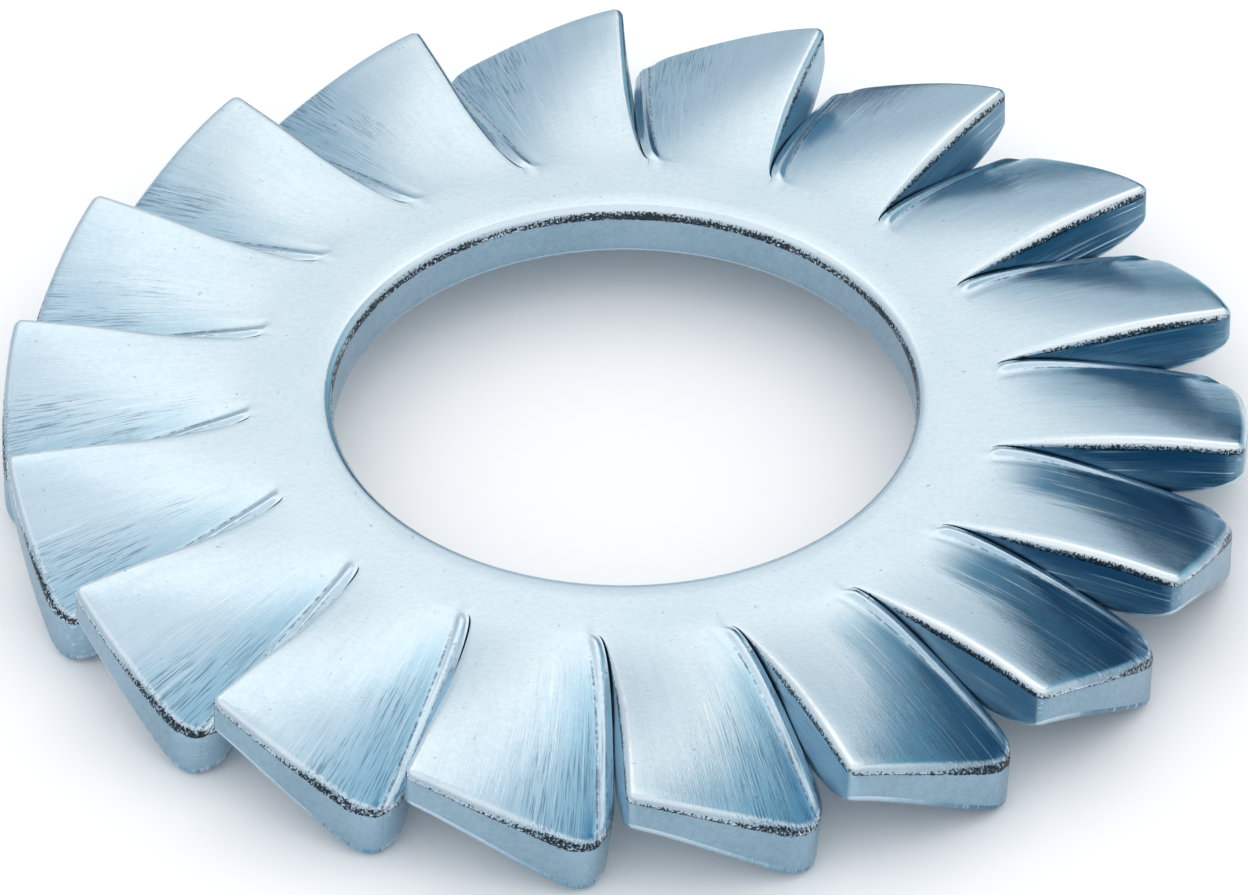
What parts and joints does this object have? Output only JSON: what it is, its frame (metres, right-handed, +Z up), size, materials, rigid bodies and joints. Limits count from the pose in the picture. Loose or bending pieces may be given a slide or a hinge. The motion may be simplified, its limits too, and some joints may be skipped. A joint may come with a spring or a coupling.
{
  "type": "toothed lock washer",
  "caption": "Flat ring with a crown of twisted, overlapping outer teeth that bite when clamped under a bolt head or nut.",
  "frame": {"origin": "on the bore's axis, in the plane the washer rests on, which is the plane of the teeth's lowered corners", "axes": "+Z up along the bore's axis, away from the surface the washer lies on; +X through the middle of one tooth's root"},
  "size_m": [0.0224, 0.0224, 0.0023],
  "materials": {
    "zinc_plate": "bright zinc plate, pale blue passivated, with fine press marks"
  },
  "bodies": {
    "root": {"lock_washer": "zinc_plate"}
  },
  "joints": []
}
